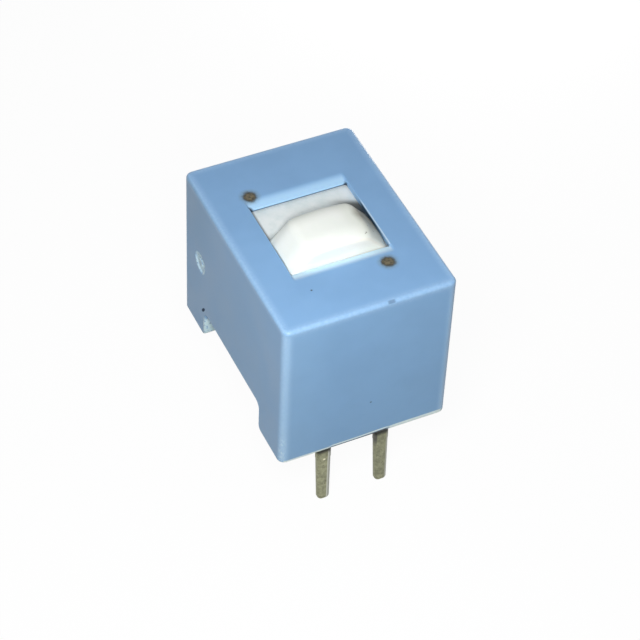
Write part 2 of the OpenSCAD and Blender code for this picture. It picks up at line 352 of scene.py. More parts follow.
def pin_metal():
    """Dull tinned strip: mottled olive grey with pits, and a rolled band along one edge with a painted sheen.

    The left pins have a painted highlight line beside the band, and the right pins are painted darker as
    shade.
    The near pins have painted shadow at their tops, the right one painted shade along an edge, and the left
    one a dent that is painted bright as a glint.
    """
    material, place = start_material("pin_metal")
    x, y, z = place.parts()
    edge = place.node("ShaderNodeAttribute", {"attribute_name": "from_edge"}, {}, output=2)
    cloud = place.noise(0.16, 5.0).fade(0.34, 0.66)
    speckle = place.noise(0.05, 2.0)
    drawn = place.stretched((6.0, 6.0, 0.5)).noise(0.3, 3.0)
    pits = place.noise(0.085, 1.0).fade(0.66, 0.74)
    tone = cloud.mix(colour(130, 131, 104), colour(168, 169, 138))
    tone = (speckle.fade(0.55, 0.7) * 0.35).mix(tone, colour(206, 208, 180))
    tone = (pits * 0.8).mix(tone, colour(104, 102, 74))
    outside = z.fade(0.3, 0.0)
    right = x.fade(0.4, 0.9)
    # Painted sheen: the rolled band is painted lighter than the face.
    rim = edge.fade(0.13, 0.11) * outside
    tone = rim.mix(tone, right.mix(colour(158, 160, 152), colour(178, 179, 166)))
    # Painted highlight: a bright line beside the band on the left pins.
    line = edge.between(0.12, 0.17, 0.012) * outside
    tone = (line * (1 - right)).mix(tone, colour(204, 206, 196))
    near_pins = y.fade(0.0, -1.0) * outside
    # Painted shade along the left edge of the near right pin, near its top.
    shaded = x.between(0.9, 1.05, 0.02) * z.fade(-2.1, -1.4) * near_pins
    tone = shaded.mix(tone, colour(92, 90, 82))
    # Painted shade: the right pins are darker.
    tone = (right * 0.2).mix(tone, colour(96, 98, 84))
    # Painted shadow at the tops of the near pins, under the cover.
    tone = (z.fade(-1.3, -1.05) * near_pins * 0.95).mix(tone, colour(14, 18, 12))
    # The dent is a real bump, and its colour is painted bright as a glint.
    dent = place.spot(dent_place, dent_r, 0.03)
    tone = dent.mix(tone, colour(250, 246, 214))
    height = drawn * 0.3 + cloud * 0.4 + speckle * 0.2 - pits * 0.6 - dent
    return finish_material(material, {
        "Base Color": tone,
        "Metallic": 0.45,
        "Roughness": cloud * 0.15 + 0.42 - rim * 0.14,
        "Normal": height.bump(0.012),
    })


tinned = pin_metal()
for row in ("near", "far"):
    for hand in ("left", "right"):
        node = f"terminal_{row}_{hand}"
        sway, lean = bends.get(f"{row}_{hand}", (0.0, 0.0))
        rings, from_edge = terminal(*box_of(node), row == "near", sway, lean)
        points, faces = closed_skin(rings)
        piece = make_piece(f"{row}_{hand}_terminal", points, faces, tinned)
        poles = [from_edge[0].mean(), from_edge[-1].mean()]
        edge_data = piece.data.attributes.new("from_edge", "FLOAT", "POINT").data
        edge_data.foreach_set("value", np.concatenate([from_edge.ravel(), poles]))
        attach(piece, "housing")
        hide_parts(node)


# The two wipers are bridge contacts of thin spring strip, plated and split into fingers. They are
# staked under the slider and short one pair of pads or the other. Their solids are shown as they are.


def spring_metal():
    """Plated spring strip: warm, bright and drawn lengthways."""
    material, place = start_material("spring_metal")
    drawn = place.stretched((8.0, 0.6, 8.0)).noise(0.4, 3.0)
    tone = drawn.fade(0.3, 0.7).mix(colour(196, 166, 104), colour(222, 194, 136))
    return finish_material(material, {
        "Base Color": tone,
        "Metallic": 1.0,
        "Roughness": drawn * 0.15 + 0.22,
        "Normal": drawn.bump(0.004, soft_edges(place, 0.02)),
    })


plated = spring_metal()
for hand in ("left", "right"):
    dress(f"wiper_{hand}", plated)


# The slider is one white moulding: a flat plate that runs under the cover's lip, and a knob that stands
# up through the window. The knob has a convex crown, sloping flanks and rounded ends, it is cored out from
# below, and two stakes under the plate hold the wipers.

plate_t = 0.63
plate_r = 0.25
plate_edge_r = 0.05
knob_d = 2.15
knob_w = 3.96
knob_slope = np.radians(51)
crown_r = 8.0
shoulder_r = 0.6
knob_foot_h = 0.17
knob_end_drop = 0.3
knob_end_run = 0.8
knob_corner_r = 0.2
knob_play = 0.035
knee_rise = 0.01
foot_fillet = 0.05
core_w = 1.86
core_d = 1.31
core_r = 0.2
core_crown = 0.6
stake_d = 0.5
head_d = 0.8
head_t = 0.18
head_edge = 0.02
head_dome = 0.08
strip_t = 0.14
pin_pitch = 2.54
knob_specks = ((1.2, -0.82, 0.03), (1.14, -0.86, 0.02), (1.62, -0.57, 0.025), (1.42, -0.46, 0.02))

slider_low, slider_high = box_of("slider")
slide_y = (slider_low[1] + slider_high[1]) / 2
plate_w = slider_high[0] - slider_low[0]
plate_d = slider_high[1] - slider_low[1]
crown_z = slider_high[2]
plate_z = slider_low[2] + head_t + strip_t
deck_z = plate_z + plate_t


def knob_grid():
    """The knob as a grid of arches along Y, and the middle of each end's foot.

    An arch runs up the left foot, the sloping flank, the shoulder's arc and the crown's wide arc, and its
    right half mirrors its left. The shoulder's circle touches the flank and the crown from inside. Over the
    rounded ends the arch is inset all round, as the distance to the end follows a quarter ellipse, and its
    foot follows a small corner. On the flat ends it shrinks towards the middle of the foot.
    """
    end = quarter(18)
    end_y = knob_d / 2 - knob_end_run * (1 - np.cos(end))
    end_inset = knob_end_drop * (1 - np.sin(end))
    middle = np.linspace(-end_y[-1], end_y[-1], 7)[1:-1]
    y = np.concatenate([-end_y, middle, end_y[::-1]])
    inset = np.concatenate([end_inset, np.zeros(len(middle)), end_inset[::-1]])[:, None]
    outward = np.array([np.sin(knob_slope), np.cos(knob_slope)])
    upward = np.array([-np.cos(knob_slope), np.sin(knob_slope)])
    centre_z = crown_z - crown_r
    start = np.array([knob_w / 2, deck_z + knob_foot_h - centre_z]) - shoulder_r * outward
    reach = crown_r - shoulder_r
    climb = np.sqrt((start @ upward) ** 2 - start @ start + reach ** 2) - start @ upward
    shoulder_x, shoulder_z = start + climb * upward
    bearing = np.arctan2(shoulder_z, shoulder_x)
    arc = np.linspace(0.5 * np.pi - knob_slope, bearing, 14)
    arc_x = shoulder_x + (shoulder_r - inset) * np.cos(arc)
    arc_z = centre_z + shoulder_z + (shoulder_r - inset) * np.sin(arc)
    crown = np.linspace(np.pi - bearing, bearing, 24)[1:-1]
    crown_xs = (crown_r - inset) * np.cos(crown)
    crown_zs = centre_z + (crown_r - inset) * np.sin(crown)
    corner = np.clip(knob_corner_r - knob_d / 2 + np.abs(y), 0, None)
    foot_x = (knob_w / 2 - knob_corner_r + np.sqrt(knob_corner_r ** 2 - corner ** 2))[:, None]
    foot_z = deck_z + foot_fillet
    knee_z = np.maximum(arc_z[:, :1] - (foot_x - arc_x[:, :1]) * np.tan(knob_slope), foot_z + knee_rise)
    rise = np.linspace(0, 1, 4)[:-1]
    climb = np.linspace(0, 1, 11)[:-1]
    half_x = np.concatenate([foot_x + 0 * rise, foot_x + (arc_x[:, :1] - foot_x) * climb, arc_x], axis=1)
    half_z = np.concatenate([foot_z + (knee_z - foot_z) * rise, knee_z + (arc_z[:, :1] - knee_z) * climb,
                             arc_z], axis=1)
    x = np.concatenate([-half_x, crown_xs, half_x[:, ::-1]], axis=1)
    z = np.concatenate([half_z, crown_zs, half_z[:, ::-1]], axis=1)
    grid = np.stack([x, np.broadcast_to(y[:, None], x.shape), z], axis=-1)
    feet = np.array([[0, -knob_d / 2, foot_z], [0, knob_d / 2, foot_z]])
    share = np.linspace(0, 1, 8)[1:-1, None, None]
    near_end = feet[0] + (grid[0] - feet[0]) * share
    far_end = feet[1] + (grid[-1] - feet[1]) * share[::-1]
    play = [knob_play, 0, 0]
    return np.concatenate([near_end, grid, far_end]) + play, feet + play


def onto_rounded(points, half_w, half_d, radius):
    """Moves points out from the middle onto a rounded rectangle: its straight sides, then its corners."""
    half = np.array([half_w, half_d])
    onto = points / np.max(np.abs(points) / half, axis=1, keepdims=True)
    inner = np.clip(onto, radius - half, half - radius)
    out = onto - inner
    return inner + radius * out / np.linalg.norm(out, axis=1, keepdims=True)


def slider_skin():
    """The knob's grid, and rings that run on from its edge: over the deck, round the plate's rim, along the
    underside and up into the core, whose roof ends in a pole."""
    grid, feet = knob_grid()
    rows, columns = grid.shape[:2]
    number = np.arange(rows * columns).reshape(rows, columns)
    near_foot, far_foot = rows * columns, rows * columns + 1
    knob = np.concatenate([grid.reshape(-1, 3), feet])
    edge = np.concatenate([[near_foot], number[:, -1], [far_foot], number[::-1, 0]])
    foot = knob[edge]
    along = np.roll(foot, -1, axis=0)[:, :2] - np.roll(foot, 1, axis=0)[:, :2]
    outward = np.stack([along[:, 1], -along[:, 0]], axis=1) / np.linalg.norm(along, axis=1, keepdims=True)
    plate_reach = foot[:, :2] * [plate_w / knob_w, plate_d / knob_d]
    plate = onto_rounded(plate_reach, plate_w / 2, plate_d / 2, plate_r)
    toward = plate / np.linalg.norm(plate, axis=1, keepdims=True)
    core_reach = foot[:, :2] * [core_w / knob_w, core_d / knob_d]
    core = onto_rounded(core_reach, core_w / 2, core_d / 2, core_r)
    rings = []

    def add_ring(outline, height):
        rings.append(np.column_stack([outline, np.full(len(outline), height)]))

    for angle in quarter(5)[1:]:
        out = foot_fillet * (1 - np.cos(angle))
        add_ring(foot[:, :2] + outward * out, deck_z + foot_fillet * (1 - np.sin(angle)))
    start = rings[-1][:, :2]
    rim = plate - toward * plate_edge_r
    for share in np.linspace(0, 1, 8)[1:-1]:
        add_ring(start + (rim - start) * share, deck_z)
    for angle in quarter(5):
        add_ring(rim + toward * plate_edge_r * np.sin(angle), deck_z - plate_edge_r * (1 - np.cos(angle)))
    for angle in quarter(5):
        add_ring(rim + toward * plate_edge_r * np.cos(angle), plate_z + plate_edge_r * (1 - np.sin(angle)))
    for share in (0.5, 0.97, 1.0):
        add_ring(rim + (core - rim) * share, plate_z)
    core_z = crown_z - core_crown
    for share in (0.02, 0.5, 0.98, 1.0):
        add_ring(core, plate_z + (core_z - plate_z) * share)
    points = np.concatenate([knob, np.concatenate(rings), [[0, 0, core_z]]])
    around = len(edge)
    first = np.arange(around) + len(knob)
    joined = np.stack([edge, first, np.roll(first, -1), np.roll(edge, -1)], axis=-1)
    faces = [grid_faces(rows, columns, close_columns=False), joined,
             cap_faces(number[0], near_foot)[:-1], cap_faces(number[-1, ::-1], far_foot)[:-1],
             grid_faces(len(rings), around, len(knob))[:, ::-1],
             cap_faces(first + (len(rings) - 1) * around, len(points) - 1)]
    return points, faces


def turned(profile, middle, around=48):
    """A profile of radius and height carried round a vertical line through middle."""
    angle = np.linspace(0, 2 * np.pi, around, endpoint=False)
    radius, height = np.array(profile).T
    x = middle[0] + radius[:, None] * np.cos(angle)
    y = middle[1] + radius[:, None] * np.sin(angle)
    return np.stack([x, y, np.broadcast_to(height[:, None], x.shape)], axis=-1)


def stake(x):
    """A post below the plate whose end is spread into a domed head."""
    head_z = slider_low[2]
    head_top = head_z + head_t
    profile = [(0.3 * head_d, head_z), (0.45 * head_d, head_z + head_edge),
               (0.5 * head_d, head_z + head_dome), (0.5 * head_d, head_top - head_edge),
               (0.48 * head_d, head_top), (0.5 * stake_d, head_top), (0.5 * stake_d, plate_z)]
    return closed_skin(turned(profile, (x, 0)))


def joined_skins(skins):
    """Several skins as one set of points and faces."""
    points, groups, count = [], [], 0
    for skin_points, skin_groups in skins:
        points.append(skin_points)
        groups += [group + count for group in skin_groups]
        count += len(skin_points)
    return np.concatenate(points), groups


def slider_plastic():
    """White moulded plastic, faintly warm, with soft flow marks, specks of grime and painted light and shade.

    The specks lie on the right shoulder, and each has its place across and along the knob, and its radius.
    Painted shade darkens the crown's right side and far edge, and the right flank, where there is some grime
    too. Painted shade lies on the deck round the knob's foot and beside the window's lips, and painted shadow
    on the deck behind the knob. Below the knob the slider is painted greyer as shade, and a warm tint is
    painted as light where the lip's shadow falls on the near end.
    """
    material, place = start_material("slider_plastic")
    x, y, z = place.parts()
    flow = place.stretched((1.0, 0.6, 1.0)).noise(0.9, 3.0).fade(0.3, 0.7)
    grain = place.noise(0.06)
    smear = place.noise(0.5, 3.0).fade(0.2, 0.7)
    along = y - slide_y
    on_knob = z.fade(deck_z + 0.02, deck_z + 0.08)
    white = flow.mix(colour(247, 253, 246), colour(251, 255, 250))
    # Below the knob, the slider is painted a greyer, smeared copy of the white as painted shade of the deck.
    tone = on_knob.mix(smear.mix(colour(222, 233, 233), colour(240, 246, 246)), white)
    # Painted warm light on the near end, where the lip's shadow falls.
    near_end = along.fade(-0.98, -1.05) * x.fade(-0.8, 0.6) * on_knob
    tone = near_end.mix(tone, colour(251, 248, 238))
    # Painted shade on the crown's right side, which turns away from the lamp.
    crown_right_shade = (x + along * 0.15).fade(0.3, 1.4) * on_knob
    tone = (crown_right_shade * 0.3).mix(tone, colour(186, 188, 168))
    # Painted shade on the right flank, with some grime in it.
    flank = (x - abs(along - 0.2) * 0.25).fade(0.95, 1.42) * along.fade(-1.15, 0.25) * on_knob
    flank = flank * (1 - x.fade(1.6, 2.0) * 0.15)
    tone = (flank * (smear * 0.2 + 0.75)).mix(tone, colour(120, 115, 98))
    # Painted shade along the crown's far edge.
    far = along.fade(0.4, 1.08) * on_knob
    tone = (far * 0.22).mix(tone, colour(150, 152, 142))
    beside = (abs(x) - knob_w / 2).most(abs(along) - knob_d / 2)
    on_deck = z.fade(deck_z - 0.06, deck_z - 0.02) * (1 - on_knob)
    # Painted shade on the deck round the knob's foot.
    foot = beside.fade(0.4, 0.0) * on_deck
    tone = (foot * 0.45).mix(tone, colour(128, 136, 130))
    # Painted shadow on the deck behind the knob's far end.
    behind = (along + x * 0.43).fade(2.8, 2.42) * x.fade(0.8, 1.95)
    tone = (behind * along.fade(0.9, 1.1) * on_deck * 0.9).mix(tone, colour(84, 82, 72))
    # Painted shade on the deck beside the window's lips.
    left_lip = x.fade(-1.8, -1.95)
    right_lip = x.fade(1.84, 2.02) * along.fade(1.75, 1.15) * (along.fade(-1.1, 0.0) * 0.7 + 0.3)
    tone = (left_lip.most(right_lip) * on_deck * 0.8).mix(tone, colour(50, 68, 84))
    from_above = place.stretched((1.0, 1.0, 0.0))
    for speck_x, speck_along, speck_r in knob_specks:
        speck = from_above.spot((speck_x, slide_y + speck_along, 0.0), speck_r, 0.015) * on_knob
        tone = (speck * 0.7).mix(tone, colour(96, 96, 84))
    return finish_material(material, {
        "Base Color": tone,
        "Roughness": flow * 0.1 + 0.5,
        "Specular IOR Level": 0.35,
        "Normal": grain.bump(0.003),
        "Subsurface Weight": 0.12,
        "Subsurface Radius": (1.0, 0.95, 0.85),
        "Subsurface Scale": 0.35 * MM,
    })


points, faces = joined_skins([slider_skin(), stake(-pin_pitch / 2), stake(pin_pitch / 2)])
points = points + [0, slide_y, 0]
slide = make_piece("knob_slider", points, faces, slider_plastic())
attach(slide, "slide")
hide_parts("slider")


# The cover is one moulded shell of satin blue plastic, open below, which snaps over the base. Its top has
# the window, with a thin lip and two shallow ramps, and its side walls stand on feet with a relief between
# them. The mould's gate leaves a round scar on the left wall, and a laser leaves a dot for each position.

wall = 0.65
upright_r = 0.3
top_r = 0.15
cavity_r = 0.15
relief_d = 5.3
relief_h = 1.35
relief_r = 0.3
foot_r = 0.25
bottom_r = 0.05
lip_t = 0.27
window_w = 4.1
window_d = 3.8
window_r = 0.08
lip_edge_r = 0.03
ramp_run = 0.45
ramp_drop = 0.12
channel_w = 4.9
channel_d = 7.35
ridge_d = 2.4
ridge_h = 0.4
ridge_out = 0.18
ridge_rise = 0.08
gate_end = 1.61
gate_rise = 0.15
gate_d = 0.95
gate_depth = 0.06
gate_nub_d = 0.42
gate_nub_h = 0.04
gate_margin = 0.12
dish_slope = 0.07
nub_slope = 0.06
straight_z = 2.0
top_band = 0.04
ramp_side = 0.04
ramp_corner = 0.02
ramp_soft_share = 0.3
crowd_gain = 1.8
crowd_reach = 0.45
near_enough = 0.001
dot_places = ((-1.77, 2.47), (1.58, -2.76))
dark_corners = ((-1, 1, 0.17), (1, 1, 0.11), (1, -1, 0.13))
pit_place_y = 2.78
pit_place_z = 1.4
nick_left = 0.66
nick_right = 0.94

cover_high = box_of("cover")[1]
half_w = cover_high[0]
half_d = cover_high[1]
body_h = cover_high[2]
lip_z = body_h - lip_t
ridge_z = relief_h + ridge_rise + ridge_h
gate_y = half_d - gate_end
gate_z = body_h / 2 + gate_rise
cover_specks = (((0.21, -half_d, 1.95), 0.03), ((-1.69, -3.01, body_h), 0.035))


def relief_path(flat):
    """The lower edge of a side wall, from one upright edge to the other, and the direction into the wall.

    It runs along the foot, round a small corner, up the relief's end, round its upper corner and along its
    roof, and the other half mirrors the first.
    """
    half = relief_d / 2
    small = quarter(9, -0.5 * np.pi)
    large = quarter(9, np.pi, -0.5 * np.pi)
    foot = np.linspace(-flat, -half - foot_r, 26)
    rise = np.linspace(foot_r, relief_h - relief_r, 9)[1:-1]
    roof = np.linspace(relief_r - half, 0, 42)[1:]
    y = np.concatenate([foot, -half - foot_r + foot_r * np.cos(small[1:]), np.full(len(rise), -half),
                        relief_r - half + relief_r * np.cos(large), roof])
    z = np.concatenate([np.zeros(len(foot)), foot_r + foot_r * np.sin(small[1:]), rise,
                        relief_h - relief_r + relief_r * np.sin(large), np.full(len(roof), relief_h)])
    into_y = np.concatenate([np.zeros(len(foot)), -np.cos(small[1:]), np.full(len(rise), -1.0), np.cos(large),
                             np.zeros(len(roof))])
    into_z = np.concatenate([np.ones(len(foot)), -np.sin(small[1:]), np.zeros(len(rise)), np.sin(large),
                             np.ones(len(roof))])
    back = slice(-2, None, -1)
    return (np.concatenate([y, -y[back]]), np.concatenate([z, z[back]]),
            np.concatenate([into_y, -into_y[back]]), np.concatenate([into_z, into_z[back]]))


side_count = len(relief_path(half_d - upright_r)[0])
end_stops = np.linspace(-1, 1, 60)
corner_turn = quarter(10)[1:-1]

# The points along the side walls crowd together beside the gate's mark, so that its edge comes out clean.
dense = np.linspace(-1, 1, 2001)
from_gate = np.abs(dense) * (half_d - upright_r) - gate_y
crowd = 1 + crowd_gain * np.exp(-(from_gate / crowd_reach) ** 2)
crowd_sum = np.cumsum(crowd) - crowd[0]
side_stops = np.interp(np.linspace(0, crowd_sum[-1], side_count), crowd_sum, dense)


def ring(half_x, half_y, radius, side_y=None):
    """A rounded rectangle seen from above, anticlockwise from the near end of its right side.

    Every ring has the same number of points on each side and corner. side_y gives the places along the
    right side, which the left side mirrors.
    """
    if side_y is None:
        side_y = side_stops * (half_y - radius)
    end_x = end_stops * (half_x - radius)
    x, y = [], []
    for turn in range(2):
        sign = 1 - 2 * turn
        for start, along_x, along_y in ((0, np.full(side_count, half_x), side_y),
                                        (0.5 * np.pi, -end_x, np.full(len(end_x), half_y))):
            x.append(sign * along_x)
            y.append(sign * along_y)
            centre_x = half_x - radius if start == 0 else radius - half_x
            x.append(sign * (centre_x + radius * np.cos(corner_turn + start)))
            y.append(sign * (half_y - radius + radius * np.sin(corner_turn + start)))
    return np.stack([np.concatenate(x), np.concatenate(y)], axis=1)


def whole_ring(side, end, corner_up, corner_down):
    """Values for a whole ring, from those of a side, an end and the corners out of and into a side."""
    return np.tile(np.concatenate([side, corner_up, end, corner_down]), 2)


corner_share = 0.5 - 0.5 * np.cos(np.linspace(0, np.pi, len(corner_turn) + 2)[1:-1])
end_weight = whole_ring(np.zeros(side_count), np.ones(len(end_stops)), corner_share, corner_share[::-1])
none = np.zeros(len(corner_turn))


def lower_wall(half_x, half_y, radius, share, inset=0.0, lift=0.0):
    """A ring low on the wall, between its lower edge, where share is 0, and the straight part, where it is 1.

    inset is the depth into the wall, and lift the distance up from the edge along the wall's own face.
    """
    flat = half_y - radius
    edge_y, edge_z, into_y, into_z = relief_path(flat)
    edge_y = edge_y + into_y * lift
    edge_z = edge_z + into_z * lift
    side_y = edge_y + (side_stops * flat - edge_y) * share
    edge = whole_ring(edge_z, np.full(len(end_stops), lift), none + lift, none + lift)
    outline = ring(half_x + inset, half_y + inset, radius + inset, side_y)
    return np.column_stack([outline, edge + (straight_z - edge) * share])


def level(half_x, half_y, radius, height):
    outline = ring(half_x, half_y, radius)
    return np.column_stack([outline, np.broadcast_to(height, len(outline))])


def cover_rings():
    """The shell as a closed loop of rings.

    They run up the outer wall, over the rounded top edge, in across the top and down the ramps, through the
    window, out under the lip, down the channel, out along the ceiling, down the inner wall and back under
    the lower edge.
    """
    rows = []
    outer = (half_w, half_d, upright_r)
    for angle in quarter(4)[:-1]:
        rows.append(lower_wall(*outer, 0, -bottom_r * (1 - np.sin(angle)), bottom_r * (1 - np.cos(angle))))
    for share in (0, 0.03, 0.15, 0.35, 0.6, 0.8, 1):
        rows.append(lower_wall(*outer, share, 0, bottom_r))
    scar = gate_d / 2 + gate_margin
    heights = np.concatenate([np.linspace(straight_z, gate_z - scar, 7)[1:-1],
                              np.linspace(gate_z - scar, gate_z + scar, 34),
                              np.linspace(gate_z + scar, body_h - top_r - top_band, 9)[1:], [body_h - top_r]])
    rows += [level(*outer, height) for height in heights]
    for angle in quarter(9)[1:]:
        inset = top_r * (1 - np.cos(angle))
        height = body_h - top_r + top_r * np.sin(angle)
        rows.append(level(half_w - inset, half_d - inset, upright_r - inset, height))
    top = rows[-1]
    window = (window_w / 2, window_d / 2, window_r)
    lip_top = [size + lip_edge_r for size in window]
    ramp_top = (lip_top[0] + ramp_side, lip_top[1] + ramp_run, lip_top[2] + ramp_corner)
    ramp_edge = level(*ramp_top, body_h)
    for share in (0.02, 0.1, 0.3, 0.5, 0.7, 0.9, 0.98, 1):
        rows.append(top + (ramp_edge - top) * share)
    lip = level(*lip_top, body_h)
    soft = ramp_soft_share
    for share in np.linspace(0, 1, 13)[1:]:
        fall = share ** 2 / (2 * soft) if share < soft else share - soft / 2
        row = ramp_edge + (lip - ramp_edge) * share
        row[:, 2] = body_h - ramp_drop * fall / (1 - soft / 2) * end_weight
        rows.append(row)
    lip_height = rows[-1][:, 2]
    for angle in quarter(5)[1:]:
        out = lip_edge_r * (1 - np.sin(angle))
        rows.append(level(*(size + out for size in window), lip_height - lip_edge_r * (1 - np.cos(angle))))
    for share in (0.3, 0.6, 1):
        foot = lip_z + lip_edge_r
        rows.append(level(*window, lip_height - lip_edge_r + (foot - lip_height + lip_edge_r) * share))
    for angle in quarter(4)[1:]:
        out = lip_edge_r * (1 - np.cos(angle))
        rows.append(level(*(size + out for size in window), lip_z + lip_edge_r * (1 - np.sin(angle))))
    channel = (channel_w / 2, channel_d / 2, plate_r)
    cavity = (half_w - wall, half_d - wall, cavity_r)
    under = rows[-1]
    channel_top = level(*channel, lip_z)
    rows += [under + (channel_top - under) * share for share in (0.3, 0.7, 0.97, 1)]
    rows += [level(*channel, lip_z + (plate_z - lip_z) * share) for share in (0.04, 0.5, 0.96, 1)]
    channel_foot = rows[-1]
    ceiling = level(*cavity, plate_z)
    rows += [channel_foot + (ceiling - channel_foot) * share for share in (0.06, 0.5, 0.94, 1)]
    rows += [level(*cavity, plate_z + (straight_z - plate_z) * share) for share in (0.01, 0.3, 0.6, 0.9)]
    ridge_top = (ridge_z - relief_h - bottom_r) / (straight_z - relief_h - bottom_r)
    for share in (1, ridge_top + 0.06, ridge_top + 0.01, ridge_top, 0.4, 0.25, 0.13, 0.05, 0):
        rows.append(lower_wall(*cavity, share, 0, bottom_r))
    for angle in quarter(4)[1:]:
        rows.append(lower_wall(*cavity, 0, bottom_r * (1 - np.cos(angle)), bottom_r * (1 - np.sin(angle))))
    return np.stack(rows)


def ridges_and_scar(rings):
    """Pushes out the snap ridges inside the side walls, and presses in the gate's dish and broken nub.

    A ridge is a wedge that grows with height and ends square. The dish and the nub are round, with edges that
    waver by a few per cent as sines of the bearing, and their slopes are smooth steps.
    """
    x, y, z = rings[..., 0], rings[..., 1], rings[..., 2]
    inside = np.abs(np.abs(x) - (half_w - wall)) < near_enough
    slope = np.clip((z - (ridge_z - ridge_h)) / ridge_h, 0, 1) * (z <= ridge_z + near_enough)
    out = ridge_out * slope * (np.abs(y) <= ridge_d / 2) * inside
    reach = np.hypot(y - gate_y, z - gate_z)
    bearing = np.arctan2(z - gate_z, y - gate_y)
    ragged = 1 + 0.06 * np.sin(3 * bearing + 0.6) + 0.04 * np.sin(7 * bearing + 2.0)
    dish = np.clip((gate_d / 2 * ragged - reach) / dish_slope, 0, 1)
    nub = np.clip((gate_nub_d / 2 * ragged - reach) / nub_slope, 0, 1)
    nub_height = gate_nub_h * (1 + 0.35 * np.sin(9 * y + 4) * np.cos(11 * z))
    depth = gate_depth * dish * dish * (3 - 2 * dish) - nub_height * nub * nub * (3 - 2 * nub)
    on_left = x < near_enough - half_w
    rings[..., 0] = x - np.sign(x) * out + depth * on_left
    return rings


